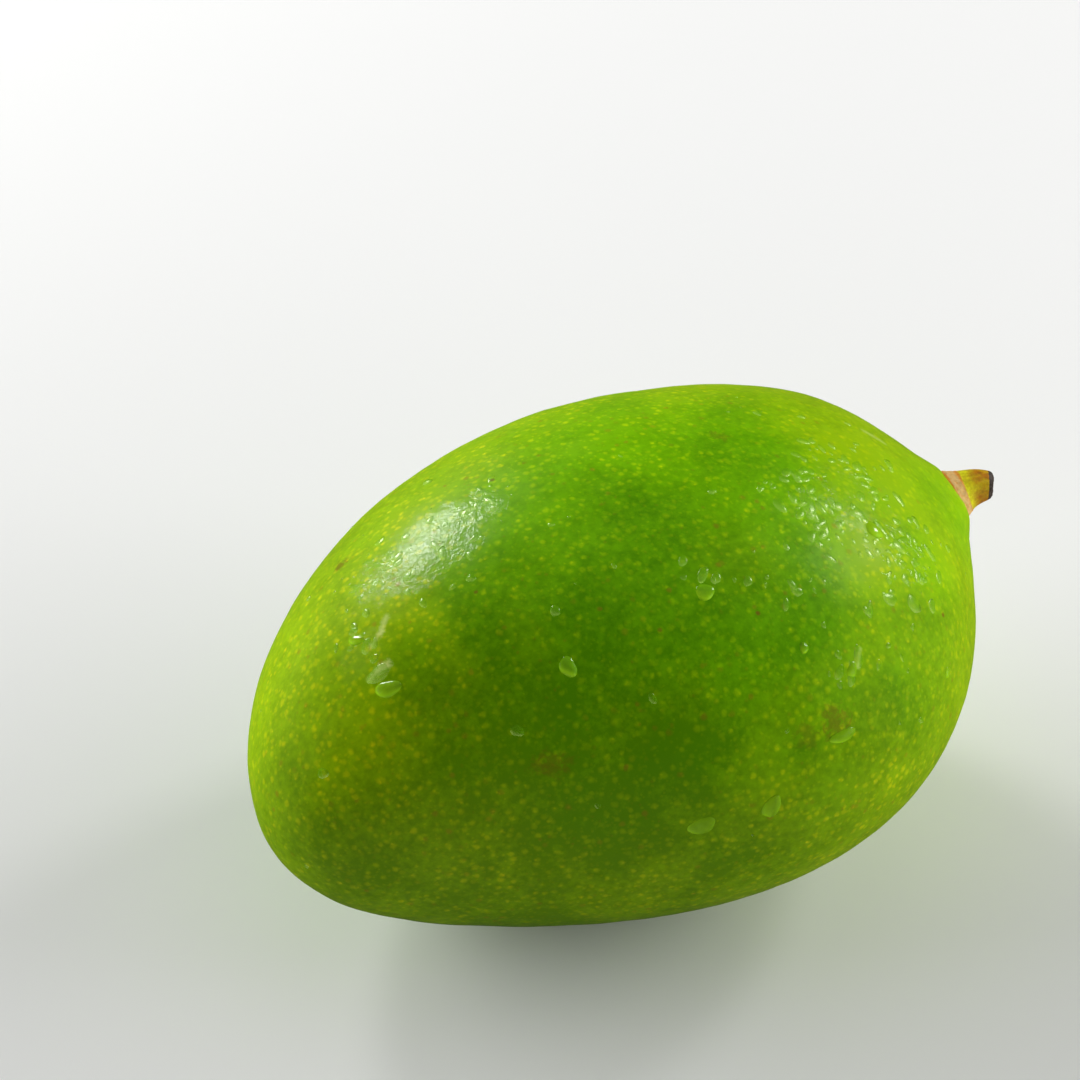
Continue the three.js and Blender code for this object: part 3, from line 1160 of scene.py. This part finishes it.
# The lamps: name, where each stands as seen from the fruit (degrees round from +X towards +Y, and
# up), its distance, width and height in metres, its brightness, and whether it is mirrored.
LAMPS = (
    ("window_left", 88, 30, 0.75, 0.19, 0.16, 17.0, True),
    ("window_right", 0, 32, 0.75, 0.15, 0.16, 13.0, True),
    ("wall_left", 132, 17, 0.85, 0.95, 0.55, 4.9, False),
    ("wall_right", -27, 21, 0.85, 0.85, 0.5, 4.3, False),
    ("wall_back", 90, 15, 0.85, 0.6, 0.45, 1.1, False),
    ("wall_front", -65, 12, 0.85, 0.85, 0.36, 2.1, False),
    ("ceiling", 40, 75, 0.85, 0.7, 0.7, 0.35, False),
)


def make_softbox(name, azimuth, elevation, distance, width, height, brightness, glossy):
    turn, rise = radians(azimuth), radians(elevation)
    direction = Vector((cos(turn) * cos(rise), sin(turn) * cos(rise), sin(rise)))
    bpy.ops.object.light_add(type="AREA", location=FRUIT_MIDDLE + direction * distance)
    lamp = bpy.context.object
    lamp.name = name
    lamp.data.shape = "RECTANGLE"
    lamp.data.size = width
    lamp.data.size_y = height
    lamp.data.energy = brightness * pi * width * height
    lamp.visible_glossy = glossy
    lamp.visible_camera = False
    aim(lamp, FRUIT_MIDDLE)


FLOOR_SIZE = 6  # metres
FLOOR_SHADE = 0.985  # of its colour, where the floor is darkest


def make_floor(settings):
    bpy.ops.mesh.primitive_plane_add(size=FLOOR_SIZE, location=(0, 0, 0))
    floor = bpy.context.object
    floor.name = "floor"
    made, shader, place = new_material("pale_floor")
    darker = [FLOOR_SHADE * part for part in settings.floor]
    shade = mix(clouds(place, 3, 2), settings.floor, darker)
    set_inputs(shader, {"Base Color": shade, "Roughness": 0.85})
    floor.data.materials.append(made)
    floor.visible_glossy = False


def make_world():
    world = bpy.data.worlds.new("studio")
    world.use_nodes = True
    background = world.node_tree.nodes["Background"]
    set_inputs(background, {"Color": (0.95, 0.97, 1.0, 1), "Strength": 0.04})
    bpy.context.scene.world = world


class MANGO_OT_stage(bpy.types.Operator):
    """Set up the camera, the lights and the floor"""
    bl_idname = "mango.stage"
    bl_label = "Studio stage"

    def execute(self, context):
        settings = context.scene.mango_stage
        make_floor(settings)
        make_world()
        for lamp in LAMPS:
            make_softbox(*lamp)
        make_camera(settings)
        context.scene.view_settings.view_transform = "Standard"
        return {"FINISHED"}


# -------- the add-on

class MANGO_PT_panel(bpy.types.Panel):
    """Lists what the add-on builds"""
    bl_label = "Green mango"
    bl_idname = "MANGO_PT_panel"
    bl_space_type = "VIEW_3D"
    bl_region_type = "UI"
    bl_category = "Mango"

    def draw(self, context):
        for name, group in GROUPS.items():
            box = self.layout.box()
            box.operator(name.replace("_", "."))
            for field in group.__annotations__:
                box.prop(getattr(context.scene, name), field)


GROUPS = {"mango_skin": SkinSettings, "mango_stalk": StalkSettings,
          "mango_water": WaterSettings, "mango_stage": StageSettings}
CLASSES = (*GROUPS.values(), MANGO_OT_skin, MANGO_OT_stalk, MANGO_OT_water, MANGO_OT_stage,
           MANGO_PT_panel)


def register():
    for made in CLASSES:
        bpy.utils.register_class(made)
    for name, group in GROUPS.items():
        setattr(bpy.types.Scene, name, PointerProperty(type=group))


def unregister():
    for name in GROUPS:
        delattr(bpy.types.Scene, name)
    for made in reversed(CLASSES):
        bpy.utils.unregister_class(made)


def main():
    register()
    bpy.ops.mango.stage()
    bpy.ops.mango.skin()
    bpy.ops.mango.stalk()
    bpy.ops.mango.water()


if __name__ == "__main__":
    main()
